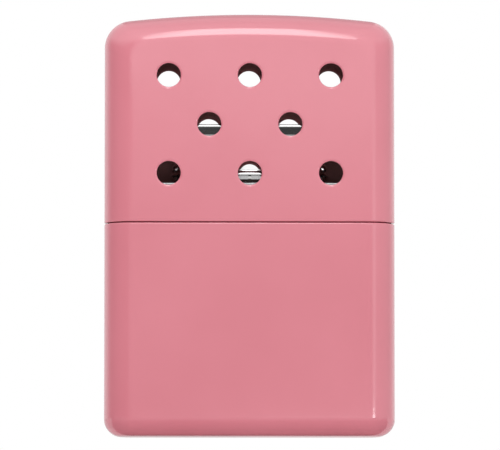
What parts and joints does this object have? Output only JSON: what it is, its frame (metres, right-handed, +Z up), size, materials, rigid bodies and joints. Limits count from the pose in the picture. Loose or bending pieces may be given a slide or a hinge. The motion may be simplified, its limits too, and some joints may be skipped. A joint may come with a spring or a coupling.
{
  "type": "catalytic hand warmer",
  "caption": "Slim pocket hand warmer: a painted fuel tank with a pull-off burner on its neck, under a vented slip-on lid with an arched top.",
  "frame": {"origin": "middle of the tank's flat bottom, on the surface that the warmer stands on", "axes": "+Z up from the tank through the lid, X across the width, -Y out of the front face"},
  "size_m": [0.051, 0.0132, 0.0743],
  "materials": {
    "lacquer": "gloss pink lacquer on drawn steel",
    "plated_steel": "bright plating, satin",
    "plated_brass": "plated",
    "cotton": "loose cotton wadding",
    "felt": "pressed wool felt",
    "polished_chrome": "polished",
    "spring_steel": "plain rolled",
    "glass_fibre": "glass wool",
    "catalyst": "dark woven glass fibre"
  },
  "bodies": {
    "tank": {"tank_case": "lacquer", "tank_collar": "plated_steel", "fuel_neck": "plated_brass", "cotton_packing": "cotton", "wick_felt": "felt"},
    "lid": {"lid_shell": "lacquer"},
    "burner": {"burner_shell": "polished_chrome", "burner_socket": "spring_steel", "support_grid": "spring_steel", "glass_wool": "glass_fibre", "catalyst_mat": "catalyst", "mat_guard": "spring_steel"}
  },
  "joints": [
    {"name": "lid_lift", "type": "slide", "parent": "tank", "child": "lid", "axis": [0, 0, 1], "range_m": [0, 0.045]},
    {"name": "burner_lift", "type": "slide", "parent": "tank", "child": "burner", "axis": [0, 0, 1], "range_m": [0, 0.014]}
  ]
}
